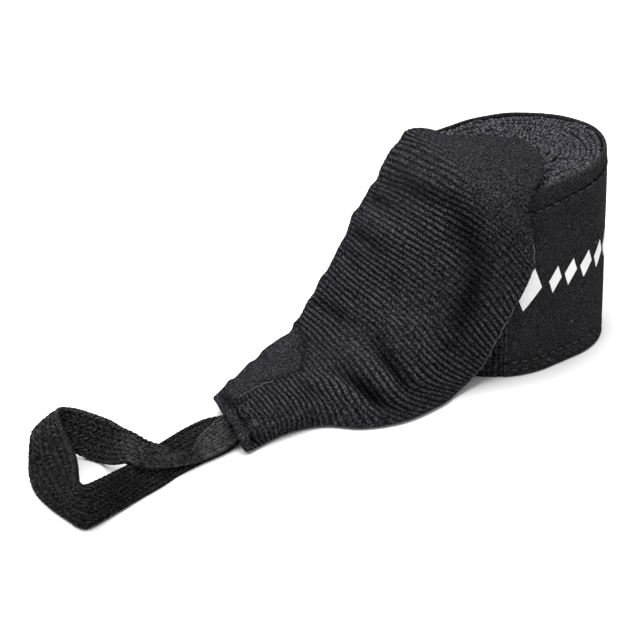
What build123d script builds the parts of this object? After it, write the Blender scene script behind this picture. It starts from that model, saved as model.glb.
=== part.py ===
from build123d import *
from math import pi
import os

os.makedirs("parts", exist_ok=True)

# A rolled boxing hand wrap, millimetres, +Z up. The origin is at the core of the roll, on its
# flat underside. The loose end of the band lies over the top of the roll, falls over the -X
# rim, runs along the ground towards -X and ends in a thumb loop of narrow tape.

# Driving dimensions
band_width = 50.0           # standard width of the knitted band, and the height of the roll
knit_thickness = 1.1        # one layer of the ribbed knit in the roll
turn_pitch = 1.3            # radial growth of the roll in one full turn
half_flat = 5.0             # half the length of the straight sides of the squashed roll
core_radius = 0.1           # inner radius of the first fold of the core
twill_thickness = 0.8       # one layer of the woven closure cloth
hem_thickness = 1.2         # the closure panel where it is sewn down, hem turned in
patch_thickness = 0.4       # hook patch and pile patch
thread_height = 0.3         # how far a row of stitches stands out of the cloth
thread_width = 0.6
tail_thickness = 2.0        # the loose knit lies in slack folds, so it is thicker than a turn
tape_width = 12.0           # thumb loop tape, standing on its edge
tape_thickness = 1.3
joint_gap = 0.3             # clearance between two pieces that turn on each other

# Half turns of the flattened spiral: even ones go round the +X end, odd ones round the -X end.
seam_turn = 31              # the band ends and the closure panel begins on this half turn
seam_angle = 236.0
panel_turn = seam_turn + 1
flap_turn = seam_turn + 2
hinge_angle = 28.0          # where the sewn panel lets go and the free flap begins
flap_end_angle = 122.0
under_flap = patch_thickness * 2 + 0.22     # room under the free flap for hook and pile


def arc_centre(turn):
    """Centre of one half turn: the +X ones sit half a pitch further back than the -X ones."""
    core_y = core_radius + knit_thickness / 2
    if turn % 2 == 0:
        return (half_flat, core_y)
    return (-half_flat, core_y - turn_pitch / 2)


def arc_radius(turn, offset):
    return core_radius + turn * turn_pitch / 2 + offset


def spiral_side(offset, start, end):
    """Tangent arcs and straight sides from start to end, each a (half turn, angle) station."""
    for turn in range(start[0], end[0] + 1):
        x, y = arc_centre(turn)
        radius = arc_radius(turn, offset)
        first = -90.0 if turn % 2 == 0 else 90.0
        low = start[1] if turn == start[0] else first
        high = end[1] if turn == end[0] else first + 180.0
        CenterArc((x, y), radius, low, high - low)
        if turn < end[0]:
            side_y = y + radius if turn % 2 == 0 else y - radius
            Line((x, side_y), (-x, side_y))


def station(turn, angle, offset):
    """Point on the spiral at an angle of one half turn."""
    return Vector(*arc_centre(turn)) + Vector(arc_radius(turn, offset), 0).rotate(Axis.Z, angle)


def cap(inner, outer, place):
    """Short straight end across a strip of the spiral."""
    Line(station(*place, inner), station(*place, outer))


def spiral_strip(inner, outer, start, end, low, high):
    """A strip of cloth wound on the roll between two offsets, two stations and two heights."""
    with BuildPart() as strip:
        with BuildSketch(Plane.XY.offset(low)):
            with BuildLine():
                spiral_side(inner, start, end)
                spiral_side(outer, start, end)
                cap(inner, outer, start)
                cap(inner, outer, end)
            make_face()
        extrude(amount=high - low)
    return strip.part


def save(part, label):
    part.label = label
    export_step(part, f"parts/{label}.step")


# ---- Roll -------------------------------------------------------------------------------

# Ribbed elastic band: a straight core fold through the origin, then 32 half turns.
with BuildPart() as rolled_band:
    with BuildSketch(Plane.XY):
        with BuildLine():
            for skin in (0.0, knit_thickness):
                core_y = knit_thickness / 2 - skin
                Line((-half_flat, core_y), (half_flat, core_y))
                spiral_side(skin, (0, -90.0), (seam_turn, seam_angle))
            Line((-half_flat, -knit_thickness / 2), (-half_flat, knit_thickness / 2))
            cap(0.0, knit_thickness, (seam_turn, seam_angle))
        make_face()
    extrude(amount=band_width)
save(rolled_band.part, "rolled_band")

# Woven closure panel, sewn to the end of the band and wrapped round the +X side of the roll.
panel_outer = under_flap + twill_thickness - turn_pitch + knit_thickness
panel_inner = panel_outer - hem_thickness
seam = (seam_turn, seam_angle)
hinge = (panel_turn, hinge_angle)
closure_panel = spiral_strip(panel_inner, panel_outer, seam, hinge, 0.0, band_width)
save(closure_panel, "closure_panel")

# Free end of the closure: one layer of twill with the hook patch sewn under its tip.
flap_inner = panel_outer - twill_thickness
flap_tip = (flap_turn, flap_end_angle)
flap_low = 0.5
flap_high = band_width - 0.5
closure_flap = spiral_strip(flap_inner, panel_outer, hinge, flap_tip, flap_low, flap_high)
save(closure_flap, "closure_flap")

patch_start = (panel_turn, 55.0)
patch_end = (flap_turn, 93.0)
patch_low = 5.0
patch_high = band_width - 5.0
hook_inner = flap_inner - patch_thickness
hook_patch = spiral_strip(hook_inner, flap_inner, patch_start, patch_end, patch_low, patch_high)
save(hook_patch, "hook_patch")

pile_outer = hook_inner - 0.2
pile_start = (panel_turn, 45.0)
pile_patch = spiral_strip(
    pile_outer - patch_thickness, pile_outer, pile_start, patch_end, patch_low, patch_high
)
save(pile_patch, "pile_patch")

# Rows of stitches along the hems: one row above, two rows below.
row_heights = {"top_hem_stitching": 44.4, "bottom_hem_stitching": 4.4, "bottom_edge_stitching": 2.0}
thread_inner = panel_outer
thread_outer = panel_outer + thread_height
for name, height in row_heights.items():
    row = spiral_strip(
        thread_inner, thread_outer, (seam_turn, seam_angle + 3.0), (panel_turn, hinge_angle - 2.0),
        height, height + thread_width,
    )
    save(row, name)

flap_rows = [
    spiral_strip(
        thread_inner, thread_outer, (panel_turn, hinge_angle + 2.0), (flap_turn, flap_end_angle - 1.5),
        height, height + thread_width,
    )
    for height in row_heights.values()
]
save(Compound(children=flap_rows), "flap_stitching")

# Upright row that sews the panel to the end of the knitted band.
seam_stitching = spiral_strip(
    thread_inner, thread_outer, (seam_turn, seam_angle + 1.0), (seam_turn, seam_angle + 2.4),
    1.0, band_width - 1.0,
)
save(seam_stitching, "seam_stitching")

# Printed mark: one large lozenge and a row of small ones, each a thin skin on the panel.
mark_height = 24.6
mark_skin = 0.2
large_mark = 10.0
small_mark = 6.5
mark_step = 5.4             # spacing along the cloth


def panel_place(length):
    """Point and outward direction on the panel, at a length from the middle of its flat front."""
    bend = abs(length) - half_flat
    if bend <= 0:
        return Vector(length, -arc_radius(seam_turn, 0.0)), Vector(0, -1)
    turn = panel_turn if length > 0 else seam_turn
    sweep = bend / (arc_radius(turn, panel_outer)) * 180 / pi
    angle = 270.0 + sweep if length > 0 else 270.0 - sweep
    return station(turn, angle, 0.0), Vector(1, 0).rotate(Axis.Z, angle)


def lozenge(length, height):
    """A diamond cut straight out of a thin skin that follows the panel."""
    foot, out = panel_place(length)
    face = Plane(origin=(foot.X, foot.Y, mark_height), x_dir=out.cross(Vector(0, 0, 1)), z_dir=out)
    with BuildPart() as skin:
        add(spiral_strip(
            panel_outer, panel_outer + mark_skin, seam, hinge,
            mark_height - large_mark, mark_height + large_mark,
        ))
        with BuildSketch(face):
            Polygon((-height * 0.3, 0), (0, -height / 2), (height * 0.3, 0), (0, height / 2))
        extrude(amount=6.0, mode=Mode.INTERSECT)
    return skin.part


marks = [lozenge(-12.5, large_mark)]
marks += [lozenge(mark_step * (count - 1), small_mark) for count in range(6)]
save(Compound(children=marks), "panel_mark")

# ---- Loose tail -------------------------------------------------------------------------

# Flat stretch of the band that comes out of the core and covers the -X part of the top.
rim_x = -21.7
top_z = band_width + 0.3
with BuildPart() as tail_root:
    with BuildSketch(Plane.XY.offset(top_z)) as root_outline:
        with BuildLine():
            Polyline(
                (rim_x, 14.0), (-13.0, 21.0), (-3.0, 20.0), (9.0, 5.0), (3.0, -9.0),
                (-5.0, -18.0), (-14.0, -19.5), (rim_x, -14.0), close=True,
            )
        make_face()
        fillet(root_outline.vertices().sort_by(Axis.X)[-1], radius=3.0)
    extrude(amount=tail_thickness)
save(tail_root.part, "tail_root")

# Stretch that bends over the rim and falls to the ground, cut across by its side outline.
fold_x = rim_x - joint_gap
fold_z = top_z + tail_thickness
foot_x = -48.0
ground_thickness = 3.5
curl_y = -22.9
drape_back_y = 27.6
with BuildPart() as tail_drape:
    with BuildSketch(Plane.XZ.offset(-drape_back_y)):
        with BuildLine():
            Polyline(
                (fold_x, fold_z), (-27.0, fold_z), (-31.0, 47.0), (-36.0, 34.0), (-43.0, 16.0),
                (foot_x + joint_gap, ground_thickness), (foot_x + joint_gap, 0.0),
                (-43.0, 3.5), (-40.5, 16.0), (-33.7, 34.0), (-29.0, 45.5), (-26.8, top_z),
                (fold_x, top_z), close=True,
            )
        make_face()
    extrude(amount=drape_back_y - curl_y)
save(tail_drape.part, "tail_drape")

# Near edge of the falling stretch, which curls back round the wall of the roll.
with BuildPart() as tail_curl:
    with BuildSketch(Plane.XZ.offset(-curl_y)):
        with BuildLine():
            Polyline(
                (-11.0, 45.0), (-11.0, 34.0), (-17.0, 21.0), (-24.0, 4.0), (-40.0, 4.0), (-30.0, 34.0),
                (-25.0, 45.0), close=True,
            )
        make_face()
    extrude(amount=1.6)
save(tail_curl.part, "tail_curl")

# Stretch on the ground, which narrows to the gather where the loop is sewn in.
gather_x = -91.7
hem_depth = 6.0
with BuildPart() as tail_end:
    with BuildSketch(Plane.XY):
        with BuildLine():
            Polyline(
                (foot_x, 29.0), (-57.0, 26.0), (-69.0, 21.5), (gather_x + hem_depth, 13.5),
                (gather_x + hem_depth, -5.0), (-74.0, -6.0), (-67.0, -8.0), (-60.0, -15.0),
                (foot_x, -18.0), close=True,
            )
        make_face()
    extrude(amount=ground_thickness)
save(tail_end.part, "tail_end")

# Corner of the band folded over on top and sewn flat, so that the end comes down to the tape.
with BuildPart() as corner_fold:
    with BuildSketch(Plane.XY.offset(ground_thickness)):
        with BuildLine():
            Polyline(
                (-52.0, 26.5), (-57.0, 25.0), (-69.0, 20.5), (-84.0, 13.0), (-84.0, 5.0), (-66.0, 7.5),
                (-55.0, 11.0), (-50.5, 18.0), close=True,
            )
        make_face()
    extrude(amount=1.2)
save(corner_fold.part, "corner_fold")

# Rolled hem at the gather, with a pocket for the two sewn ends of the tape.
hem_height = 5.8
pocket_low = 1.2
pocket_high = 4.2
pocket_back = 6.0
pocket_front = -2.2
with BuildPart() as gather_hem:
    with BuildSketch(Plane.XY):
        with BuildLine():
            Polyline(
                (gather_x, 10.5), (gather_x + hem_depth - 0.1, 13.5), (gather_x + hem_depth - 0.1, -5.0),
                (gather_x, -5.0), close=True,
            )
        make_face()
    extrude(amount=hem_height)
    with BuildSketch(Plane.XY.offset(pocket_low)):
        with BuildLine():
            Polyline(
                (gather_x - 1.0, pocket_front), (gather_x + 5.0, pocket_front),
                (gather_x + 5.0, pocket_back), (gather_x - 1.0, pocket_back), close=True,
            )
        make_face()
    extrude(amount=pocket_high - pocket_low, mode=Mode.SUBTRACT)
save(gather_hem.part, "gather_hem")

# The two ends of the tape, laid flat on each other inside the hem.
with BuildPart() as tape_ends:
    with BuildSketch(Plane.XY.offset(pocket_low)):
        with BuildLine():
            Polyline(
                (gather_x, pocket_front), (gather_x + 4.9, pocket_front),
                (gather_x + 4.9, pocket_back), (gather_x, pocket_back), close=True,
            )
        make_face()
    extrude(amount=pocket_high - pocket_low)
save(tape_ends.part, "tape_ends")

# Two bar tacks across the hem that hold the tape ends.
tack_length = 9.0
with BuildPart() as bar_tacks:
    with BuildSketch(Plane.XY.offset(hem_height)):
        with Locations((gather_x + 1.5, 2.5), (gather_x + 4.2, 2.5)):
            Rectangle(1.0, tack_length)
    extrude(amount=thread_height)
save(bar_tacks.part, "bar_tacks")

# ---- Thumb loop -------------------------------------------------------------------------

# One length of flat tape on its edge: out along -X, round the opening and back beside itself.
loop_start = gather_x - joint_gap
loop_route = [
    (loop_start, 0.4), (-103.5, -1.6), (-112.5, -3.7), (-121.8, -6.2), (-142.0, -8.2),
    (-143.4, 4.0), (-141.0, 14.0), (-135.5, 21.5), (-123.5, 24.0), (-118.6, 13.0),
    (-118.9, 3.0), (-113.0, -0.4), (-103.5, 0.9), (loop_start, 2.9),
]
bend_radii = [20.0, 20.0, 30.0, 2.0, 12.0, 10.0, 8.0, 4.0, 12.0, 4.0, 12.0, 20.0]
with BuildPart() as thumb_loop:
    with BuildSketch(Plane.XY):
        with BuildLine() as route:
            FilletPolyline(*loop_route, radius=bend_radii)
            offset(amount=tape_thickness, side=Side.LEFT)
        make_face()
    extrude(amount=tape_width)
save(thumb_loop.part, "thumb_loop")
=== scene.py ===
import bpy
import math
import numpy as np
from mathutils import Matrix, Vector


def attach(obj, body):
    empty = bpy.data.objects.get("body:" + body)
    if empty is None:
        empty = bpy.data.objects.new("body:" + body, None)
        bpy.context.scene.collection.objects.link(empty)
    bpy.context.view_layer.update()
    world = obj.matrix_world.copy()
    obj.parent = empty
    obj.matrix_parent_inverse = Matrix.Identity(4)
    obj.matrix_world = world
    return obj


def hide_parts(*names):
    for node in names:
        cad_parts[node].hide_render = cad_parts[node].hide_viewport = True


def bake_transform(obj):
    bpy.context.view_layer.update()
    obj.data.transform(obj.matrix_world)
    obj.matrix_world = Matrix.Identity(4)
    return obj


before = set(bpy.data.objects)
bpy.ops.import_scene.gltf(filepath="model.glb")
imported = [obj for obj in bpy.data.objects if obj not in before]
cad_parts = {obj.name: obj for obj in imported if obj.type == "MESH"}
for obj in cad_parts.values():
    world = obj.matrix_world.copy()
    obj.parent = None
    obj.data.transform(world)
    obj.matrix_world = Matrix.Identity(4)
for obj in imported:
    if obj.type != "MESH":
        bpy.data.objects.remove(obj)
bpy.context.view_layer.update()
MM = 0.001

# ---- Studio ---------------------------------------------------------------------------------
# A pale floor under a white, even sky, with two large soft lamps above. The camera looks down on
# the near left of the wrap, so that the loose end comes towards it.


def matt_finish(name, colour, roughness):
    """A plain matt finish for what isn't part of the object."""
    material = bpy.data.materials.new(name)
    material.use_nodes = True
    shader = material.node_tree.nodes["Principled BSDF"]
    shader.inputs["Base Color"].default_value = (*colour, 1.0)
    shader.inputs["Roughness"].default_value = roughness
    return material


def area_lamp(name, place, target, size, power):
    """A square soft lamp at place that faces target."""
    lamp = bpy.data.lights.new(name, "AREA")
    lamp.shape = "SQUARE"
    lamp.size = size
    lamp.energy = power
    holder = bpy.data.objects.new(name, lamp)
    holder.location = place
    holder.rotation_euler = (Vector(target) - Vector(place)).to_track_quat("-Z", "Y").to_euler()
    bpy.context.scene.collection.objects.link(holder)


bpy.ops.mesh.primitive_plane_add(size=30.0, location=(0, 0, 0))
floor = bpy.context.object
floor.name = "floor"
floor.data.materials.append(matt_finish("pale_floor", (0.93, 0.93, 0.93), 0.9))

world = bpy.data.worlds.new("white_sky")
bpy.context.scene.world = world
world.use_nodes = True
sky = world.node_tree.nodes["Background"]
sky.inputs["Color"].default_value = (1.0, 1.0, 1.0, 1.0)
sky.inputs["Strength"].default_value = 0.62
area_lamp("key_lamp", (-0.42, 0.02, 1.05), (-0.05, 0.0, 0.02), 0.8, 12.0)
area_lamp("top_lamp", (0.3, 0.3, 1.1), (0.0, 0.0, 0.03), 0.9, 10.0)

camera_data = bpy.data.cameras.new("camera")
camera_data.sensor_width = 36.0
camera_data.lens = 196.9
camera_data.clip_end = 50.0
camera = bpy.data.objects.new("camera", camera_data)
camera.location = (-0.5675, -0.5675, 0.4018)
camera_looks_along = Vector((0.5955, 0.6689, -0.4449))
camera.rotation_euler = camera_looks_along.to_track_quat("-Z", "Y").to_euler()
bpy.context.scene.collection.objects.link(camera)
bpy.context.scene.camera = camera
bpy.context.scene.view_settings.view_transform = "Standard"

# ---- Roll of ribbed band ----------------------------------------------------------------------
# One long strip of elastic rib knit, 50 mm wide, wound flat round its own folded start. The
# turns go round two centres, so the roll is squashed, and the outer ones stand up a little on
# the right. Only the edge of the knit shows on top; it is coloured lighter there, partly for its
# fuzz and partly as painted top light.
band_width = 50.0
knit_thickness = 1.1
turn_pitch = 1.3
half_flat = 5.0
core_radius = 0.1
seam_turn, seam_angle = 31, 236.0
rib_pitch = 1.45
outer_rise = 1.6
rise_towards = [0.85, -0.53]
roll_reach = 24.0


def wound_path(start, end, step):
    """Points and outward directions along the spiral, from start to end, each (half turn, degrees).

    Half turn k is an arc of radius core_radius + k * turn_pitch / 2 about one of two centres, and
    a straight side joins each arc to the next. Returns points, outward directions and the length
    along the path, about one sample per step.
    """
    runs = []
    for turn in range(start[0], end[0] + 1):
        even = turn % 2 == 0
        centre = np.array([half_flat, turn_pitch / 2]) if even else np.array([-half_flat, 0.0])
        radius = core_radius + turn * turn_pitch / 2
        first = -90.0 if even else 90.0
        low = start[1] if turn == start[0] else first
        high = end[1] if turn == end[0] else first + 180.0
        count = max(2, int(round(math.radians(high - low) * radius / step)))
        angle = np.radians(np.linspace(low, high, count + 1))
        out = np.stack([np.cos(angle), np.sin(angle)], 1)
        runs.append((centre + radius * out, out))
        if turn < end[0]:
            side = np.linspace(0, 1, max(3, int(round(2 * half_flat / step))) + 1)[1:-1, None]
            last = runs[-1][0][-1]
            runs.append((last + side * [-2 * centre[0], 0.0], np.repeat(out[-1:], len(side), 0)))
    points = np.concatenate([run[0] for run in runs])
    out = np.concatenate([run[1] for run in runs])
    length = np.concatenate([[0], np.cumsum(np.linalg.norm(np.diff(points, axis=0), axis=1))])
    return points, out, length


def smooth_noise(place, wavelength, seed):
    """Random heights from -1 to 1, one every wavelength, joined by cosine easing."""
    place = (place - np.min(place)) / wavelength
    knots = np.random.default_rng(seed).uniform(-1, 1, int(np.max(place)) + 3)
    index = np.floor(place).astype(int)
    ease = (1 - np.cos(np.pi * (place - index))) / 2
    return knots[index] * (1 - ease) + knots[index + 1] * ease


def skin(top, bottom, uv, relief=None):
    """A closed skin between two matching grids of points: (points, quads, uv, relief).

    The top grid faces outwards when its rows go left and its columns go up. Strips of quads join
    it to the bottom grid along all four borders. uv has one pair for each grid point, and relief
    one number of painted shade, multiplied into the colour: 0 deep in a groove, 1 on open cloth,
    more than 1 where a highlight is painted.
    """
    relief = np.ones(uv.shape[:2]) if relief is None else np.broadcast_to(relief, uv.shape[:2])
    rows, columns = top.shape[:2]
    grid = np.arange(rows * columns).reshape(rows, columns)
    under = grid + rows * columns
    quads = [
        np.stack([grid[:-1, :-1], grid[1:, :-1], grid[1:, 1:], grid[:-1, 1:]], -1).reshape(-1, 4),
        np.stack([under[:-1, :-1], under[:-1, 1:], under[1:, 1:], under[1:, :-1]], -1).reshape(-1, 4),
    ]
    for line, back, flip in (
        (grid[0], under[0], False), (grid[-1], under[-1], True),
        (grid[:, 0], under[:, 0], True), (grid[:, -1], under[:, -1], False),
    ):
        strip = np.stack([line[:-1], line[1:], back[1:], back[:-1]], -1)
        quads.append(strip[:, ::-1] if flip else strip)
    points = np.concatenate([top.reshape(-1, 3), bottom.reshape(-1, 3)])
    both = np.concatenate([uv.reshape(-1, 2)] * 2)
    return points, np.concatenate(quads), both, np.concatenate([relief.ravel()] * 2)


def mesh_piece(name, skins, material, body=None, nodes=()):
    """One object from several closed skins, in millimetres, riding on a body in place of nodes."""
    starts = np.cumsum([0] + [len(made[0]) for made in skins])
    points = np.concatenate([made[0] for made in skins]) * MM
    points[:, 2] = np.maximum(points[:, 2], 0.0)  # nothing goes below the ground
    quads = np.concatenate([made[1] + start for made, start in zip(skins, starts)])
    flat = np.concatenate([made[2] for made in skins])
    mesh = bpy.data.meshes.new(name)
    mesh.vertices.add(len(points))
    mesh.vertices.foreach_set("co", points.astype(np.float32).ravel())
    mesh.loops.add(quads.size)
    mesh.loops.foreach_set("vertex_index", quads.astype(np.int32).ravel())
    mesh.polygons.add(len(quads))
    mesh.polygons.foreach_set("loop_start", np.arange(0, quads.size, 4, dtype=np.int32))
    mesh.polygons.foreach_set("use_smooth", np.ones(len(quads), bool))
    layer = mesh.uv_layers.new(name="cloth")
    layer.data.foreach_set("uv", flat[quads.ravel()].astype(np.float32).ravel())
    # relief holds painted shade and highlight at each point; the materials multiply it into the colour
    relief = mesh.attributes.new("relief", "FLOAT", "POINT")
    relief.data.foreach_set("value", np.concatenate([made[3] for made in skins]).astype(np.float32))
    mesh.update(calc_edges=True)
    mesh.validate()
    mesh.materials.append(material)
    piece = bpy.data.objects.new(name, mesh)
    bpy.context.scene.collection.objects.link(piece)
    if body:
        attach(piece, body)
    if nodes:
        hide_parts(*nodes)
    return piece


def rounding(edge, radius):
    """Share of the full thickness at a distance from an edge, so that the edge is a half round."""
    return np.sqrt(np.clip(1 - (1 - np.clip(edge / radius, 0, 1)) ** 2, 0.03, 1))


def rib(length):
    """Height of the ribs, 0 in the groove and 1 on the ridge: the root of a rectified sine."""
    return np.sqrt(np.abs(np.sin(np.pi * length / rib_pitch)))


def group(name, inputs, outputs):
    """An empty shader node group with named sockets: (name, kind, default)."""
    tree = bpy.data.node_groups.new(name, "ShaderNodeTree")
    for label, kind, default in inputs:
        socket = tree.interface.new_socket(name=label, in_out="INPUT", socket_type=kind)
        socket.default_value = default
    for label, kind in outputs:
        tree.interface.new_socket(name=label, in_out="OUTPUT", socket_type=kind)
    return tree, tree.nodes.new("NodeGroupInput"), tree.nodes.new("NodeGroupOutput")


def node(tree, kind, inputs=None, **settings):
    """One shader node: settings are its properties, inputs are values or sockets to link from."""
    made = tree.nodes.new(kind)
    for label, value in settings.items():
        setattr(made, label, value)
    for label, value in (inputs or {}).items():
        if isinstance(value, bpy.types.NodeSocket):
            tree.links.new(value, made.inputs[label])
        else:
            made.inputs[label].default_value = value
    return made


def maths(tree, operation, first, second=0.0, third=0.0):
    """The output of one math node: the operation on the first, second and third value."""
    made = node(tree, "ShaderNodeMath", {0: first, 1: second, 2: third}, operation=operation)
    return made.outputs[0]


def scaled(tree, colour, factor):
    """A colour socket times a value socket."""
    made = node(tree, "ShaderNodeVectorMath", {0: colour}, operation="SCALE")
    tree.links.new(factor, made.inputs["Scale"])
    return made.outputs[0]


def yarn_group():
    """Spun yarn: light and dark flecks, wide faint patches and sparse pale lint in the colour."""
    tree, inside, outside = group(
        "spun_yarn",
        [("Colour", "NodeSocketColor", (0.03, 0.03, 0.033, 1)), ("Fleck", "NodeSocketFloat", 0.5),
         ("Scale", "NodeSocketFloat", 1.0), ("Lint", "NodeSocketFloat", 1.0)],
        [("Colour", "NodeSocketColor"), ("Height", "NodeSocketFloat")],
    )
    place = tree.nodes.new("ShaderNodeTexCoord").outputs["Object"]
    scale = inside.outputs["Scale"]
    coarse = node(tree, "ShaderNodeTexNoise", {
        "Vector": place, "Scale": maths(tree, "MULTIPLY", scale, 900.0), "Detail": 3.0,
        "Roughness": 0.65})
    fine = node(tree, "ShaderNodeTexNoise", {
        "Vector": place, "Scale": maths(tree, "MULTIPLY", scale, 2600.0), "Detail": 2.0})
    patch = node(tree, "ShaderNodeTexNoise", {"Vector": place, "Scale": 60.0, "Detail": 3.0})
    mixed = maths(tree, "ADD", maths(tree, "MULTIPLY", coarse.outputs["Fac"], 0.6),
                  maths(tree, "MULTIPLY", fine.outputs["Fac"], 0.4))
    fleck = maths(tree, "MULTIPLY_ADD", maths(tree, "SUBTRACT", mixed, 0.5),
                  maths(tree, "MULTIPLY", inside.outputs["Fleck"], 7.0), 1.0)
    faint = maths(tree, "SUBTRACT", patch.outputs["Fac"], 0.5)
    wide = maths(tree, "MULTIPLY_ADD", faint, 0.5, 1.0)
    level = maths(tree, "MAXIMUM", maths(tree, "MULTIPLY", fleck, wide), 0.12)
    specks = node(tree, "ShaderNodeTexVoronoi", {"Vector": place, "Scale": 160.0})
    lint = maths(tree, "LESS_THAN", specks.outputs["Distance"], 0.045)
    lint = maths(tree, "MULTIPLY", lint, maths(tree, "MULTIPLY", inside.outputs["Lint"], 3.0))
    tree.links.new(scaled(tree, inside.outputs["Colour"], maths(tree, "ADD", level, lint)),
                   outside.inputs["Colour"])
    tree.links.new(mixed, outside.inputs["Height"])
    return tree


spun_yarn = yarn_group()


def cloth_material(name, colour, fleck, pattern, bump, sheen=0.0, scale=1.0, lint=1.0):
    """Matt cloth of spun yarn. pattern(tree, u, v) gives sockets: a darkening factor and a height.

    u and v are the lengths along and across the cloth, in millimetres.
    """
    material = bpy.data.materials.new(name)
    material.use_nodes = True
    tree = material.node_tree
    shader = tree.nodes["Principled BSDF"]
    yarn = node(tree, "ShaderNodeGroup", node_tree=spun_yarn)
    yarn.inputs["Colour"].default_value = (*colour, 1.0)
    yarn.inputs["Fleck"].default_value = fleck
    yarn.inputs["Scale"].default_value = scale
    yarn.inputs["Lint"].default_value = lint
    place = tree.nodes.new("ShaderNodeUVMap")
    place.uv_map = "cloth"
    split = node(tree, "ShaderNodeSeparateXYZ", {0: place.outputs[0]})
    along = maths(tree, "MULTIPLY", split.outputs[0], band_width)
    across = maths(tree, "MULTIPLY", split.outputs[1], band_width)
    dark, height = pattern(tree, along, across)
    # Painted shade and highlight: the relief attribute darkens or lightens the base colour
    relief = node(tree, "ShaderNodeAttribute", attribute_name="relief").outputs["Fac"]
    depth = maths(tree, "MULTIPLY", dark, maths(tree, "MAXIMUM", relief, 0.05))
    tree.links.new(scaled(tree, yarn.outputs["Colour"], depth), shader.inputs["Base Color"])
    height = maths(tree, "MULTIPLY_ADD", yarn.outputs["Height"], 1.0, height)
    fuzz = node(tree, "ShaderNodeBump", {"Strength": 1.0, "Distance": bump, "Height": height})
    tree.links.new(fuzz.outputs[0], shader.inputs["Normal"])
    shader.inputs["Roughness"].default_value = 0.95
    shader.inputs["Specular IOR Level"].default_value = 0.02
    shader.inputs["Sheen Weight"].default_value = sheen
    shader.inputs["Sheen Roughness"].default_value = 0.5
    return material


def wave(tree, phase, power=1.0):
    """The size of a sine of the phase in half turns, raised to a power."""
    swing = maths(tree, "SINE", maths(tree, "MULTIPLY", phase, math.pi))
    return maths(tree, "POWER", maths(tree, "ABSOLUTE", swing), power)


def rib_pattern(tree, along, across):
    """Small uneven loops of yarn along each ridge; the relief paints shade in the grooves."""
    uneven = node(tree, "ShaderNodeTexNoise", {
        "Vector": tree.nodes.new("ShaderNodeTexCoord").outputs["Object"], "Scale": 400.0}).outputs["Fac"]
    lean = maths(tree, "MULTIPLY_ADD", uneven, 2.4, across)
    loops = wave(tree, maths(tree, "DIVIDE", lean, 0.8))
    return maths(tree, "MULTIPLY_ADD", loops, 0.14, 0.9), maths(tree, "MULTIPLY", loops, 0.25)


def edge_pattern(tree, along, across):
    """Plain fuzz with a faint unevenness along the band."""
    loops = wave(tree, maths(tree, "DIVIDE", along, 0.9))
    return maths(tree, "MULTIPLY_ADD", loops, 0.25, 0.85), loops


knit = cloth_material("charcoal_rib_knit", (0.0198, 0.0193, 0.0226), 2.3, rib_pattern, 0.0005,
                      scale=2.0)
# Lighter colour for the top of the roll: partly the knit's fuzz, partly painted top light
fuzz_and_top_light = cloth_material("fuzzy_edge_and_top_light", (0.089, 0.087, 0.100), 1.3, edge_pattern, 0.0008,
                           scale=1.2)

inner = wound_path((0, -90.0), (29, 90.0), 0.5)
outer = wound_path((29, 90.0), (seam_turn, seam_angle), 0.2)
core = np.linspace(-half_flat, half_flat, 16)[:-1]
path = np.concatenate([np.stack([core, np.full_like(core, 0.1)], 1), inner[0], outer[0][1:]])
out = np.concatenate([np.repeat([[0.0, -1.0]], len(core), 0), inner[1], outer[1][1:]])
length = 2 * half_flat + np.concatenate([inner[2], inner[2][-1] + outer[2][1:]])
length = np.concatenate([core + half_flat, length])
height = np.array([0, 0.1, 0.5, 3, 12, 25, 38, 47, 49.2, 49.6, 49.85, 50])
edge = np.minimum(height, band_width - height)
round_off = rounding(edge, 0.45)
lift = 0.3 * smooth_noise(length, 6.0, 1) + 0.32 * smooth_noise(length, 1.2, 2) - 0.25
rise = outer_rise * (np.hypot(*path.T) / roll_reach) ** 6
rise = rise * np.clip(path @ rise_towards / roll_reach, 0, 1) ** 2
level = height[None, :] + (lift + rise)[:, None] * (height[None, :] / band_width) ** 6
thick = knit_thickness * (1.05 + 0.12 * smooth_noise(length, 1.7, 3))[:, None] * round_off
middle = knit_thickness / 2 + 0.1 * smooth_noise(length, 9.0, 4)[:, None]
ridge = 0.25 * (rib(length) - 0.7)[:, None] * round_off


def stand(path, out, offset, level):
    """Grid of points: the path moved outwards by each offset, at each height."""
    flat = path[:, None, :] + out[:, None, :] * offset[..., None]
    return np.concatenate([flat, np.broadcast_to(level, offset.shape)[..., None]], 2)


uv = np.stack(np.broadcast_arrays(length[:, None], height[None, :]), -1) / band_width
upper = stand(path, out, middle + thick / 2 + ridge, level)
lower = stand(path, out, middle - thick / 2, level)
# Painted shade: darker in the grooves between the ribs
groove = 0.15 + 0.95 * rib(length)[:, None] ** 1.5
roll = mesh_piece("wound_band", [skin(upper, lower, uv, groove)], knit, "roll", ["rolled_band"])
roll.data.materials.append(fuzz_and_top_light)
# Faces above the top edge take the lighter material: fuzz and painted top light
face_centres = np.zeros(len(roll.data.polygons) * 3)
roll.data.polygons.foreach_get("center", face_centres)
lighter_top_above = 48.8 * MM
top_faces = face_centres.reshape(-1, 3)[:, 2] > lighter_top_above
roll.data.polygons.foreach_set("material_index", top_faces.astype(np.int32))

# ---- Closure panel ----------------------------------------------------------------------------
# Black twill sewn to the end of the band, hemmed above and below. It runs half way round the
# roll and goes on as the flap, which holds with hook tape on a patch of pile.
panel_start, hinge, flap_stop = (seam_turn, seam_angle), (32, 28.0), (33, 122.0)
twill_inner, twill_outer = 0.42, 1.5
twill_low, twill_high = 0.1, 50.0
stitch_pitch = 2.7
hem_lean, hem_rise = 0.4, 0.3


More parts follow.
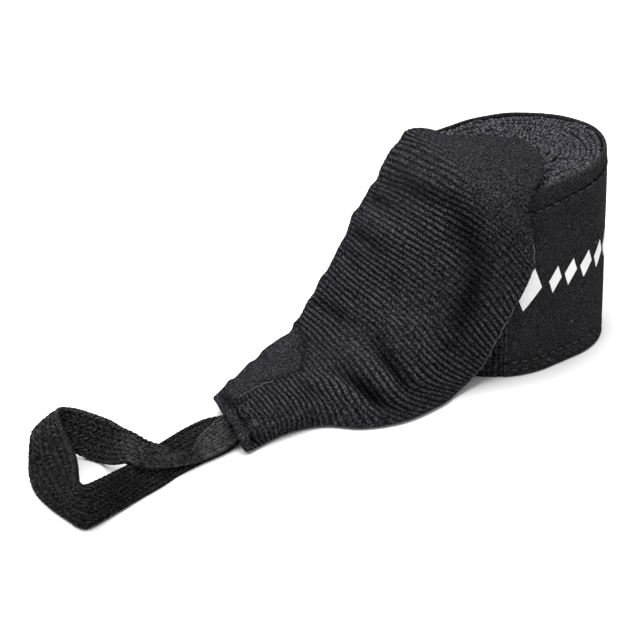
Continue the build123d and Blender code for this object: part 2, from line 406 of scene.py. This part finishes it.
def weave(tree, along, across):
    """The fine steep diagonal lines of the twill."""
    slant = maths(tree, "MULTIPLY", across, 0.9)
    return wave(tree, maths(tree, "MULTIPLY_ADD", along, 2.0, slant))


def twill_pattern(tree, along, across):
    """Diagonal lines, dark between them."""
    line = weave(tree, along, across)
    return maths(tree, "MULTIPLY_ADD", line, 1.5, 0.2), line


twill = cloth_material("black_twill", (0.0205, 0.0202, 0.0220), 1.3, twill_pattern, 0.0004,
                       scale=2.2, lint=2.0)


def hem_rows(length):
    """Heights of the three rows of stitches at a length along the panel."""
    return [43.6 + 4.2 * np.clip(length / 45.0, 0, 1), 3.9 + 0 * length, 1.7 + 0 * length]


def wrapped(start, stop, inside, outside, low, high, step,
            pucker=0.0, rim=0.0, lean=0.0, free=3, before=0.0):
    """A closed strip of cloth along the spiral, between two offsets and two heights.

    Its cross-section has half round edges. pucker sinks it along the rows of stitches, rim lifts
    its top edge and lean draws the top edge inwards. free is 1 where the strip's start is a free
    edge, 2 where its end is, and 3 for both; the other end is cut square. before is the length of
    sewn cloth ahead of the start.
    """
    path, out, length = wound_path(start, stop, step)
    share = np.concatenate([
        np.linspace(0, 0.02, 5)[:-1], np.linspace(0.02, 0.98, 130), np.linspace(0.98, 1, 5)[1:]])
    height = low + (high - low) * share
    thick = (outside - inside) * rounding(np.minimum(height - low, high - height), 0.5)[None, :]
    from_start = length if free & 1 else 9.0 + length
    from_end = length[-1] - length if free & 2 else 9.0 + length
    ends = rounding(np.minimum(from_start, from_end), 0.5)[:, None]
    middle = (outside + inside) / 2 + 0 * length[:, None]
    sink = 0 * (length[:, None] + height[None, :])
    for row in hem_rows(length + before):
        gap = height[None, :] - row[:, None]
        beat = 0.7 + 0.3 * np.cos(2 * np.pi * length / stitch_pitch)[:, None]
        sink = sink - pucker * beat * np.exp(-((gap / 0.45) ** 2))
        sink = sink + 0.3 * pucker * np.exp(-((gap + 1.1) ** 2))
    swell = 0.5 * pucker * smooth_noise(length, 7.0, 11)[:, None] * np.sin(height / 8.0)[None, :]
    wobble = 0.25 * smooth_noise(length, 8.0, 12) * np.sin(np.pi * length / length[-1]) + rim
    rise = outer_rise * np.clip(path @ rise_towards / roll_reach, 0, 1) ** 2
    level = height[None, :] + (wobble + rise)[:, None] * share[None, :] ** 8
    uv = np.stack(np.broadcast_arrays(length[:, None], height[None, :]), -1) / band_width
    middle = middle - lean * share[None, :] ** 14
    upper = stand(path, out, middle + thick * ends / 2 + sink + swell, level)
    # Painted shade and highlight in the colour: darker in the puckered dips along the stitch rows,
    # lighter on the swell below them and along the top edge
    relief = np.clip(1 + 5.0 * np.minimum(sink, 0) + 2.0 * np.maximum(sink, 0), 0.1, 1.3)
    relief = relief + 0.6 * share ** 60
    return skin(upper, stand(path, out, middle - thick * ends / 2, level), uv, relief)


panel_cloth = wrapped(panel_start, hinge, twill_inner, twill_outer, twill_low, twill_high, 0.3,
                      pucker=0.35, rim=hem_rise, lean=hem_lean, free=1)
panel = mesh_piece("twill_panel", [panel_cloth], twill, "roll", ["closure_panel"])
panel_length = wound_path(panel_start, hinge, 0.3)[2][-1]

# ---- Stitches ---------------------------------------------------------------------------------
# Lockstitch in dull black thread: each stitch is a short half round that dips at both ends. Three
# rows run along the twill's hems, and one goes up the seam where the twill meets the band.
stitch_size = 2.1
hem_thread, seam_thread, flap_thread = 1.34, 1.36, 1.42


def stitch(place, ahead, outwards, size, width=0.5, proud=0.22):
    """One stitch: a closed skin centred on place, size long in the direction ahead.

    Its arch is the root of 1 less the fourth power of the share along it, times a half round
    across it; it narrows to about a third at both tips.
    """
    along = np.linspace(-1, 1, 9)
    across = np.cos(np.linspace(np.pi, 0, 7))
    arch = np.sqrt(1 - along ** 4)[:, None] * np.sqrt(1 - across ** 2)[None, :]
    side = np.cross(outwards, ahead)
    taper = (0.35 + 0.65 * np.sqrt(1 - along ** 4))[:, None, None]
    flat = (place + ahead * along[:, None, None] * size / 2
            + side * across[None, :, None] * width / 2 * taper)
    uv = np.stack(np.broadcast_arrays(along[:, None] * size, across[None, :] * width), -1) / band_width
    top = flat + outwards * (arch * proud - 0.02)[..., None]
    return skin(top[:, ::-1], (flat - outwards * (0.25 + 0.1 * arch)[..., None])[:, ::-1], uv)


def stitch_rows(start, stop, offset, rows, pitch=stitch_pitch, size=stitch_size):
    """Stitches along the spiral at the heights of the rows, one every pitch, out by an offset."""
    path, out, length = wound_path(start, stop, 0.2)
    made = []
    for row in rows(length):
        for place in np.arange(pitch, length[-1] - pitch / 2, pitch):
            index = int(np.searchsorted(length, place))
            outwards = np.array([*out[index], 0.0])
            ahead = np.array([-out[index][1], out[index][0], 0.0])
            point = np.array([*(path[index] + out[index] * offset), row[index]])
            made.append(stitch(point, ahead, outwards, size))
    return made


def thread_pattern(tree, along, across):
    """Twisted thread: slanting plies."""
    ply = wave(tree, maths(tree, "MULTIPLY_ADD", along, 2.6, across))
    return maths(tree, "MULTIPLY_ADD", ply, 0.5, 0.6), ply


thread = cloth_material("black_thread", (0.060, 0.060, 0.064), 0.6, thread_pattern, 0.0001, lint=0.0)
mesh_piece("panel_stitches", stitch_rows(panel_start, hinge, hem_thread, hem_rows), thread, "roll",
           ["top_hem_stitching", "bottom_hem_stitching", "bottom_edge_stitching"])
seam_path, seam_out, _ = wound_path((31, 234.0), (31, 237.5), 0.2)
seam = []
for place in np.arange(2.5, 48.5, stitch_pitch):
    outwards = np.array([*seam_out[-1], 0.0])
    point = np.array([*(seam_path[-1] + seam_out[-1] * seam_thread), place])
    seam.append(stitch(point, np.array([0.0, 0.0, 1.0]), outwards, stitch_size))
mesh_piece("seam_stitches", seam, thread, "roll", ["seam_stitching"])

# ---- Flap, hook tape and pile -----------------------------------------------------------------
# The flap is the free end of the twill, from the hinge line on. It carries the hook tape on
# its inside, which grips the patch of pile sewn to the roll.


def pile_pattern(tree, along, across):
    """Dense soft loops."""
    loops = maths(tree, "MULTIPLY", wave(tree, maths(tree, "DIVIDE", along, 0.7)),
                  wave(tree, maths(tree, "DIVIDE", across, 0.6)))
    return maths(tree, "MULTIPLY_ADD", loops, 0.7, 0.5), loops


def hook_pattern(tree, along, across):
    """Rows of stiff hooks."""
    hooks = maths(tree, "MULTIPLY", wave(tree, maths(tree, "DIVIDE", along, 1.1), 2.0),
                  wave(tree, maths(tree, "DIVIDE", across, 0.9), 2.0))
    return maths(tree, "MULTIPLY_ADD", hooks, 0.9, 0.4), maths(tree, "MULTIPLY", hooks, 2.0)


pile = cloth_material("loop_pile", (0.022, 0.022, 0.024), 0.6, pile_pattern, 0.0004, 0.1)
hook = cloth_material("hook_tape", (0.014, 0.014, 0.015), 0.2, hook_pattern, 0.0004, lint=0.2)


flap_inner = 0.62
flap_cloth = wrapped(hinge, flap_stop, flap_inner, twill_outer, twill_low, twill_high, 0.4,
                     pucker=0.25, rim=hem_rise, lean=hem_lean, free=2, before=float(panel_length))
flap = mesh_piece("twill_flap", [flap_cloth], twill, None, ["closure_flap"])
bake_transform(flap)


def flap_rows(length):
    """The hems' rows, carried on from the panel."""
    return hem_rows(length + panel_length)


flap_seams = stitch_rows(hinge, flap_stop, flap_thread, flap_rows)
flap_stitches = mesh_piece("flap_stitches", flap_seams, thread, None, ["flap_stitching"])
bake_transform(flap_stitches)
patch_low, patch_high, patch_stop = 5.0, 45.0, (33, 93.0)
mesh_piece("pile_tape", [wrapped((32, 45.0), patch_stop, -0.18, 0.30, patch_low, patch_high, 0.4)],
           pile, "roll", ["pile_patch"])
mesh_piece("hook_strip", [wrapped((32, 55.0), patch_stop, 0.36, 0.86, patch_low, patch_high, 0.4)],
           hook, "flap", ["hook_patch"])

# ---- Mark -------------------------------------------------------------------------------------
# A plain row of white lozenges printed on the panel, one large and six small. They lean a little
# and the row climbs slightly to the right.
panel_run = wound_path(panel_start, hinge, 0.1)
panel_middle = wound_path(panel_start, (31, 269.9), 0.1)[2][-1] + half_flat
mark_height, mark_slope, mark_slant = 24.6, 0.09, 0.25
mark_aspect, mark_proud, mark_depth = 0.62, 0.12, 0.35


def lozenge(middle, half_height):
    """One lozenge as a thin closed skin: its height shrinks evenly to both sides.

    middle is the length of its centre from the middle of the panel's flat front.
    """
    along = np.linspace(-1, 1, 25)
    across = np.linspace(-1, 1, 25)
    tall = half_height * np.maximum(1 - np.abs(along), 0.01)
    centre = mark_height + mark_slope * middle
    high = centre + tall[:, None] * across[None, :]
    run = middle + along[:, None] * half_height * mark_aspect + (high - centre) * mark_slant
    place = panel_middle + run
    points = np.stack([np.interp(place, panel_run[2], panel_run[0][:, side]) for side in (0, 1)], -1)
    facing = np.stack([np.interp(place, panel_run[2], panel_run[1][:, side]) for side in (0, 1)], -1)
    proud = twill_outer + mark_proud + 0 * high
    top = np.concatenate([points + facing * proud[..., None], high[..., None]], 2)
    low = np.concatenate([points + facing * (proud - mark_depth)[..., None], high[..., None]], 2)
    return skin(top, low, np.stack([run, high], -1) / band_width)


def print_pattern(tree, along, across):
    """Thin paint on twill: the weave shows through a little."""
    line = weave(tree, along, across)
    return maths(tree, "MULTIPLY_ADD", line, 0.06, 0.95), maths(tree, "MULTIPLY", line, 0.6)


white_print = cloth_material("white_print", (0.80, 0.80, 0.80), 0.02, print_pattern, 0.0001, lint=0.0)
marks = [lozenge(-11.2, 5.6)] + [lozenge(-3.4 + 5.4 * step, 3.4) for step in range(6)]
mesh_piece("printed_mark", marks, white_print, "roll", ["panel_mark"])

# ---- Loose tail -------------------------------------------------------------------------------
# The end of the band comes out of the core, lies over the top, turns over the rim and falls to
# the ground, where it narrows to the gather. Each row of points lies along a rib, from the far
# edge to the near one.
tail_rows = [
    [(6, 2.5, 51.5), (6, -1, 51.5), (4.5, -5, 51.5),
     (2, -10, 51.5), (-2, -14.5, 51.5), (-6.5, -18, 51.3)],
    [(-2, 9.5, 52.5), (-1.5, 3.5, 53), (-2, -3, 53),
     (-3.5, -10, 53), (-6, -15.5, 52.5), (-9, -20.5, 51.5)],
    [(-8.5, 13.5, 53), (-8, 6, 53.5), (-9, -3, 53.8),
     (-11, -11, 53.5), (-12.5, -17.5, 53), (-13, -22.5, 51)],
    [(-13.5, 19.5, 54), (-14, 9.5, 54.5), (-16, -2, 54.5),
     (-18.5, -12.5, 54), (-18.5, -20, 51.5), (-16, -24, 47.5)],
    [(-18.5, 20.5, 52), (-20.5, 8, 53.5), (-22.5, -5.5, 53.8),
     (-23, -16, 52), (-20, -21.5, 47.5), (-14, -24, 40)],
    [(-24, 21, 45), (-27, 6, 47.5), (-28, -7, 47.5),
     (-25, -15.5, 44.5), (-19, -20.5, 38), (-13, -23, 29.5)],
    [(-31, 22, 36), (-34, 7, 36.5), (-35, -5.5, 35.5),
     (-32, -13.5, 31.5), (-27, -18.5, 24.5), (-20, -20, 14.5)],
    [(-36, 22.5, 28), (-39, 8.5, 27.5), (-39, -3, 25.5),
     (-37.5, -11.5, 21), (-33.5, -16, 13.5), (-24, -17, 4.5)],
    [(-40.5, 24, 20), (-43.5, 10.5, 19), (-44.5, -1, 17),
     (-45, -10, 13), (-42.5, -16.5, 7.5), (-32.5, -17.5, 1)],
    [(-42.5, 25, 15.5), (-46, 11, 15.5), (-48, -0.5, 14),
     (-50, -10.5, 11), (-49, -18, 6.5), (-38.5, -19, 0.6)],
    [(-46, 25.5, 10), (-51, 12, 11), (-54, 0.5, 10.5),
     (-56.5, -9, 8.5), (-57, -16.5, 5), (-51, -19.5, 0.6)],
    [(-50, 26, 6.5), (-55, 14, 8), (-59, 3, 8.5),
     (-61.5, -5.5, 7.5), (-62.5, -11.5, 4.5), (-61.5, -15.5, 0.6)],
    [(-59.5, 25, 4.5), (-62.5, 13, 6.5), (-66, 3.5, 7),
     (-68, -3.5, 6.5), (-68.5, -7, 4), (-68, -8, 0.6)],
    [(-69, 22, 3.5), (-73, 11.5, 5.5), (-76, 3.5, 6.5),
     (-78, -2.5, 6), (-78.5, -5.5, 4), (-77, -4.5, 0.6)],
    [(-83, 15.5, 3), (-87.5, 7.5, 5), (-90.5, 1.5, 6),
     (-92, -2.5, 5.5), (-92.5, -4.8, 3.5), (-91, -5.5, 0.6)],
]
tail_net = np.array(tail_rows, float)
tail_spans = tail_net.shape[1] - 1
rough_samples = 400
rows_per_rib = 8
rib_height, corner_height = 0.5, 0.5
scallop_height, pleat_height, pleat_width = 0.6, 0.5, 12.5


def through(rows, place):
    """Smooth curve through every row, read at fractional row numbers (Catmull-Rom spans)."""
    padded_rows = np.concatenate([2 * rows[:1] - rows[1:2], rows, 2 * rows[-1:] - rows[-2:-1]])
    index = np.clip(np.floor(place).astype(int), 0, len(rows) - 2)
    part = (place - index).reshape(-1, *[1] * (rows.ndim - 1))
    before, here, after, beyond = (padded_rows[index + shift] for shift in range(4))
    return 0.5 * (
        2 * here + (after - before) * part
        + (2 * before - 5 * here + 4 * after - beyond) * part ** 2
        + (3 * here - before - 3 * after + beyond) * part ** 3
    )


rough = np.linspace(0, len(tail_net) - 1, rough_samples)
rough_middle = through(tail_net[:, 2:4].mean(1), rough)
rough_length = np.concatenate([[0], np.cumsum(np.linalg.norm(np.diff(rough_middle, axis=0), axis=1))])
tail_length = rough_length[-1]


def crease(along, across, first, last, depth, width):
    """A soft groove or ridge: its depth times a bell of the distance to the line from first to last.

    The line is in millimetres along and across the cloth. The depth fades to a third at its ends.
    """
    first, last = np.array(first, float), np.array(last, float)
    run = last - first
    share = np.clip(((along - first[0]) * run[0] + (across - first[1]) * run[1]) / (run @ run), 0, 1)
    gap = np.hypot(along - first[0] - share * run[0], across - first[1] - share * run[1])
    fade = 0.35 + 0.65 * np.sin(np.pi * np.clip(share, 0.02, 0.98))
    return depth * fade * np.exp(-((gap / width) ** 2))


# Creases: (length, width) where each starts and ends on the cloth, its depth and half width.
tail_creases = [
    ((37, 3), (35, 24), -1.0, 2.6), ((35, 23), (44, 36), -1.5, 4.2), ((44, 36), (60, 40), -1.6, 4.2),
    ((43, 0), (43.5, 9), -0.9, 1.7), ((55.5, 0), (54.5, 12), -1.2, 1.9), ((62, 0), (60, 8), -0.7, 1.5),
    ((48, 2), (49, 18), 0.6, 2.5), ((78, 0), (76, 15), -1.1, 1.7), ((75, 20), (76, 41), -1.8, 2.0),
    ((86, 23), (82.5, 43), -2.2, 2.1), ((81, 17), (78.5, 36), 0.8, 1.6), ((91, 24), (87, 42), 0.8, 2.2),
    ((97, 20), (94, 33), -0.8, 1.8), ((121, 12), (111, 15), -1.5, 1.3), ((66, 14), (66, 36), 0.5, 4.0),
    ((27, 30), (26, 46), 0.7, 3.0),
]


def folded_corner(u, v):
    """1 inside the corner that is folded over and sewn down before the gather, and 0 outside it."""
    start = 85.7 + 7.0 * np.clip(v / 14.0, 0, 2) ** 1.5
    end = 16.3 - 0.27 * (u - 94.0)
    return 1 / (1 + np.exp((start - u) / 0.5)) / (1 + np.exp((v - end) / 0.5))


def tail_relief(u, v):
    """How far the cloth stands off its smooth shape, and how open each spot is to the light.

    The height is the sum of the ribs, the creases, a scalloped edge, pleats and a rolled lip at the
    gather, and the folded corner's extra layer. The ribs are weak where the cloth is stretched over
    the top, along its edges and on the folded corner. The openness is painted shade and highlight in
    the colour: grooves, sunken creases and the folded corner's seam are darker, rib ridges, raised
    creases and the rolled lip lighter.
    """
    edge = np.minimum(v, band_width - v)
    wobble = 0.35 * smooth_noise(u + 0.35 * v, 5.0, 21) * np.sin(v / 3.1 + u / 7.0)
    ridge = rib(u + wobble)
    start = 17.0 + 11.0 * np.clip((v - 5.0) / 25.0, 0, 1)
    corner = folded_corner(u, v)
    left = tail_length - u
    strength = np.clip((u - start) / 7.0, 0.08, 1.0) * (1 - 0.8 * corner)
    strength = strength * np.clip(left / 4.0, 0.3, 1) * np.clip(edge / 2.0 + 0.3, 0, 1)
    strength = strength * (0.8 + 0.2 * np.sin(v / 5.3 + u / 11.0))
    soft = 0 * u
    for line in tail_creases:
        soft = soft + crease(u, v, *line) * np.clip(edge / 2.5, 0.25, 1)
    scallop = scallop_height * smooth_noise(u, 3.4, 22) * np.exp(-((v / 4.0) ** 2))
    scallop = scallop * np.clip(left / 8.0, 0, 1)
    pleats = pleat_height * np.sin(2 * np.pi * v / pleat_width + 1.0) * np.exp(-((left / 8.0) ** 2))
    lip = 1.0 * np.exp(-(((left - 1.2) / 1.1) ** 2)) - 1.1 * np.exp(-(((left - 4.0) / 1.0) ** 2))
    lip = lip * np.clip(edge / 4.0 - 0.2, 0, 1) * (0.8 + 0.4 * np.sin(v / 3.0))
    height = rib_height * strength * (ridge - 0.7) + soft + scallop + pleats + lip
    height = height + corner_height * corner
    seam = 4 * corner * (1 - corner)
    # Painted shade and highlight: dark in rib grooves, sunken creases and along the folded corner's seam,
    # light on rib ridges, raised creases and the rolled lip
    open_sky = (1 - strength * (1.0 - 1.8 * ridge ** 3)) * (1 - 0.5 * seam)
    return height, open_sky * np.clip(1 + 0.44 * np.minimum(soft, 0.5) + 0.45 * lip, 0.15, 1.25)


def held_off(spots, rim_radius=22.8, top_gap=1.2, ease=0.4):
    """How far the roll pushes the cloth out at some spots.

    It is the depth inside the roll with its rim and top a little enlarged, eased to 0 outside:
    ease times the logarithm of one plus the exponential of depth over ease.
    """
    beyond = np.maximum(np.abs(spots[..., 0]) - half_flat, 0)
    from_rim = rim_radius - np.hypot(beyond, spots[..., 1])
    depth = np.minimum(from_rim, band_width + top_gap - spots[..., 2])
    return ease * np.log1p(np.exp(np.clip(depth / ease, -30, 30)))


def tail_cloth(first, last, columns):
    """A closed skin of the tail between two lengths along its middle, ribs and creases included."""
    along = np.linspace(first, last, int((last - first) * rows_per_rib / rib_pitch))
    rows = through(tail_net, np.interp(along, rough_length, rough))
    across = (1 - np.cos(np.linspace(0, np.pi, columns))) / 2 * 0.3 + np.linspace(0, 1, columns) * 0.7
    spread = through(rows.transpose(1, 0, 2), across * tail_spans).transpose(1, 0, 2)
    facing = np.cross(np.gradient(spread, axis=0), np.gradient(spread, axis=1))
    facing /= np.linalg.norm(facing, axis=2, keepdims=True)
    u, v = np.meshgrid(along, across * band_width, indexing="ij")
    thick = knit_thickness * rounding(np.minimum(v, band_width - v), 0.8)
    thick = thick * rounding(tail_length - u + 0.02, 0.7)
    height, open_sky = tail_relief(u, v)
    spread = spread + facing * held_off(spread + facing * height[..., None])[..., None]
    top = spread + facing * (height + thick / 2)[..., None]
    bottom = spread + facing * (height * 0.8 - thick / 2)[..., None]
    return skin(top, bottom, np.stack([u, v], -1) / band_width, open_sky)


def sharpen_ends(piece, count):
    """Keeps the shading of the cut ends apart from the cloth's: the first and last grid rows."""
    total = len(piece.data.vertices) // 2
    ends = np.arange(count)
    rim = np.zeros(len(piece.data.vertices), bool)
    for base in (0, total - count, total, 2 * total - count):
        rim[base + ends] = True
    pair = np.zeros(len(piece.data.edges) * 2, np.int32)
    piece.data.edges.foreach_get("vertices", pair)
    both = rim[pair].reshape(-1, 2).all(1)
    sharp = piece.data.attributes.new("sharp_edge", "BOOLEAN", "EDGE")
    sharp.data.foreach_set("value", both)


ribs_over_rim = 43.0
cut = ribs_over_rim * rib_pitch
upper_columns, lower_columns = 110, 120
over_rim = mesh_piece("tail_over_rim", [tail_cloth(0.0, cut, upper_columns)], knit, None,
                      ["tail_root", "tail_drape", "tail_curl"])
sharpen_ends(over_rim, upper_columns)
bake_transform(over_rim)
to_gather = mesh_piece("tail_to_gather", [tail_cloth(cut, tail_length, lower_columns)], knit, None,
                       ["tail_end", "corner_fold", "gather_hem"])
sharpen_ends(to_gather, lower_columns)
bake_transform(to_gather)

# ---- Thumb loop -------------------------------------------------------------------------------
# A soft braided tape, 12 mm wide, stands on edge as a loop. Both ends lie on one another, leaning
# back, and run into the gather. Each pair is a point of the lower and the upper edge.
loop_rails = np.array([
    [(-86, 0.5, 1.2), (-85, 8, 3.2)], [(-90, -1.5, 0.7), (-88, 8.2, 3.6)],
    [(-95, -2.4, 0.4), (-92.5, 9, 3.9)], [(-102, -2.6, 0.3), (-99.5, 8.4, 3.9)],
    [(-110, -3.4, 0.2), (-107.5, 6, 4.6)], [(-116, -4.8, 0.2), (-113, 3.4, 5.8)],
    [(-124, -6.1, 0.2), (-120, 0.8, 6.2)], [(-132, -7.4, 0.2), (-129, -4, 9)],
    [(-141, -8.6, 0.2), (-141.4, -9, 12)], [(-142.6, -7.4, 0.2), (-142.9, -7.6, 12.3)],
    [(-142.7, -3.5, 0.2), (-141, -4.5, 12)], [(-142.3, 5, 0.2), (-136.8, 1, 12)],
    [(-140.5, 12.6, 0.2), (-132.4, 8.2, 11.8)], [(-137.6, 18.6, 1.8), (-129.4, 14.5, 12)],
    [(-134.3, 22.5, 6.5), (-126.8, 20.2, 12.6)], [(-129.8, 25.6, 7.5), (-124.2, 22.6, 12.9)],
    [(-124.8, 23.2, 3), (-121.8, 21.3, 12.8)], [(-121.4, 18.4, 0.4), (-119.8, 16.5, 12.5)],
    [(-120, 13, 0.4), (-118.7, 11, 12.4)], [(-122, 6, 3.6), (-117.3, 8.6, 11.2)],
    [(-123.8, -1, 7.6), (-115, 7, 9.2)], [(-120, -2.4, 5.4), (-113.3, 3.8, 7.8)],
    [(-115.1, -2.6, 3.7), (-110.5, 1.5, 6.3)], [(-110.2, -2.9, 2.5), (-107.5, -0.8, 4.6)],
    [(-105.8, -3, 1.8), (-103.8, -0.6, 3.4)], [(-100, -3, 1.5), (-98.4, 3.4, 3.6)],
    [(-95, -2.8, 1.5), (-92.6, 5.2, 4.4)], [(-90, -1.8, 1.9), (-88, 6.2, 5)],
    [(-86, 0.6, 2.4), (-85, 7, 4.8)],
], float)
tape_width, tape_thickness = 12.0, 1.2
braid_columns, braid_pitch, braid_depth = 8, 1.6, 0.4
top_lit_stretch = 34.0


def braid_height(along, across):
    """Height of the braid: columns of slanting plies that mirror each other, like knitted stitches."""
    column = across / tape_width * braid_columns
    local = 2 * (column - np.floor(column)) - 1
    lean = np.where(np.floor(column) % 2 == 0, 1, -1) * local
    phase = along / braid_pitch + 0.75 * lean + 0.45 * smooth_noise(along + 2.3 * across, 2.0, 31)
    return np.abs(np.sin(np.pi * phase)) * (1 - 0.5 * local ** 4)


def tape_cloth():
    """The whole tape as one closed skin with the braid on both faces, and its length.

    Painted shade makes it darker along the near side of the loop and painted light paler along the
    far side. Over the last stretch, which lies on top, an even painted top light replaces the painted
    shade between the plies.
    """
    place = np.linspace(0, len(loop_rails) - 1, 4000)
    rails = through(loop_rails, place)
    run = np.linalg.norm(np.diff(rails.mean(1), axis=0), axis=1)
    travel = np.concatenate([[0], np.cumsum(run)])
    length = np.linspace(0, travel[-1], int(travel[-1] / 0.22))
    rails = through(loop_rails, np.interp(length, travel, place))
    across = np.linspace(0, tape_width, 56)
    share = (across / tape_width)[None, :, None]
    wander = 0.25 * smooth_noise(length, 11.0, 32)[:, None]
    belly = np.sin(np.pi * share[..., 0]) * (0.35 + wander)
    flat = rails[:, :1] * (1 - share) + rails[:, 1:] * share
    facing = np.cross(np.gradient(flat, axis=1), np.gradient(flat, axis=0))
    facing /= np.linalg.norm(facing, axis=2, keepdims=True)
    u, v = np.meshgrid(length, across, indexing="ij")
    thick = tape_thickness * rounding(np.minimum(v, tape_width - v), 0.7)
    relief = braid_depth * (braid_height(u, v) - 0.5)
    top = flat + facing * (belly + thick / 2 + relief)[..., None]
    bottom = flat + facing * (belly - thick / 2 - relief)[..., None]
    # Painted light and shade along the loop: darker on the near side, paler on the far side; painted top
    # light over the last stretch, in place of the painted shade between the plies
    painted_light_at = np.interp([0, 3, 7, 9, 13, 15, 19, 22], place, travel)
    painted_light = np.interp(u, painted_light_at, [1, 0.75, 0.7, 0.85, 0.85, 1.7, 1.6, 1])
    top_lit = np.clip((u - travel[-1] + top_lit_stretch) / 9, 0, 1)
    open_sky = painted_light * (0.02 + 1.9 * braid_height(u, v)) * (1 - top_lit) + 2.9 * top_lit
    return skin(bottom, top, np.stack([u, v], -1) / band_width, open_sky), travel[-1]


def braid_pattern(tree, along, across):
    """Darker between the columns of the braid; the relief paints shade between its plies."""
    column = wave(tree, maths(tree, "MULTIPLY", across, braid_columns / tape_width), 0.5)
    return maths(tree, "MULTIPLY_ADD", column, 0.35, 0.7), maths(tree, "MULTIPLY", column, 0.4)


tape = cloth_material("black_braid", (0.0145, 0.0144, 0.0146), 1.2, braid_pattern, 0.0006,
                      scale=1.3, lint=1.5)
tape_skin, tape_length = tape_cloth()
loop = mesh_piece("thumb_tape", [tape_skin], tape, None, ["thumb_loop", "tape_ends"])
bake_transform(loop)

# ---- Threads at the gather --------------------------------------------------------------------
# Two bar tacks hold the tape in the gather. A pale overlock thread runs along the near edge and
# another shows where the folded corner is sewn down.
pale_thread = cloth_material("grey_thread", (0.15, 0.15, 0.16), 0.3, thread_pattern, 0.0001, lint=0.0)


def on_tail(u, v, lift):
    """Points on the tail's upper face at lengths u and widths v, raised by lift."""
    spots = []
    for shift in ((0, 0), (0.5, 0), (-0.5, 0), (0, 0.5), (0, -0.5)):
        rows = through(tail_net, np.interp(u + shift[0], rough_length, rough))
        across = np.clip((v + shift[1]) / (band_width / tail_spans), 0, tail_spans)
        spots.append(np.array([through(row, part)[0] for row, part in zip(rows, across[:, None])]))
    facing = np.cross(spots[1] - spots[2], spots[3] - spots[4])
    facing /= np.linalg.norm(facing, axis=1, keepdims=True)
    height, _ = tail_relief(u, v)
    height = height + held_off(spots[0] + facing * height[:, None])
    return spots[0] + facing * (height + knit_thickness / 2 + lift)[:, None], facing


def run_thread(u, v, radius, lift, seed):
    """A thin wandering tube on the tail through lengths u and widths v, as a closed skin."""
    fine = np.linspace(0, len(u) - 1, 26 * len(u))
    u = np.interp(fine, np.arange(len(u)), u)
    v = np.interp(fine, np.arange(len(v)), v)
    v = v + 0.25 * smooth_noise(fine, 0.25, seed)
    spots, upright = on_tail(u, np.clip(v, 0.2, 49.8), lift + 0.1 * smooth_noise(fine, 0.2, seed + 1))
    ahead = np.gradient(spots, axis=0)
    side = np.cross(ahead, upright)
    side /= np.linalg.norm(side, axis=1, keepdims=True)
    turn = np.linspace(0, np.pi, 6)[None, :, None]
    over = side[:, None] * np.cos(turn) + upright[:, None] * np.sin(turn)
    under = side[:, None] * np.cos(turn) - upright[:, None] * np.sin(turn)
    return skin(spots[:, None] + radius * over, spots[:, None] + radius * under,
                np.zeros((len(spots), 6, 2)))


edge_thread = mesh_piece("edge_thread", [
    run_thread(np.array([29.0, 30.5, 32.0, 33.5]), np.array([49.6, 49.8, 49.4, 49.8]), 0.12, 0.0, 41),
    run_thread(np.linspace(43.0, 68.0, 9), np.full(9, 49.5), 0.13, -0.1, 43),
], pale_thread)
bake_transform(edge_thread)
corner_thread = mesh_piece("corner_thread", [
    run_thread(np.array([85.4, 86.5, 88.5, 91.5]), np.array([1.0, 4.5, 8.3, 13.0]), 0.1, -0.2, 45),
    run_thread(np.array([103.0, 107.0, 111.0, 115.0]), np.array([14.0, 12.8, 11.7, 10.6]), 0.12, 0.0, 47),
], pale_thread)
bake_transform(corner_thread)
tacks = []
for middle in (16.0, 29.0):
    for step in range(6):
        spots, upright = on_tail(tail_length - np.array([7.2, 5.6]), np.full(2, middle + step), 0.05)
        ahead = (spots[1] - spots[0]) / np.linalg.norm(spots[1] - spots[0])
        outwards = upright[0] - ahead * (upright[0] @ ahead)
        outwards /= np.linalg.norm(outwards)
        tacks.append(stitch(spots.mean(0), ahead, outwards, 1.6, 0.4, 0.12))
mesh_piece("gather_tacks", tacks, thread, "end", ["bar_tacks"])
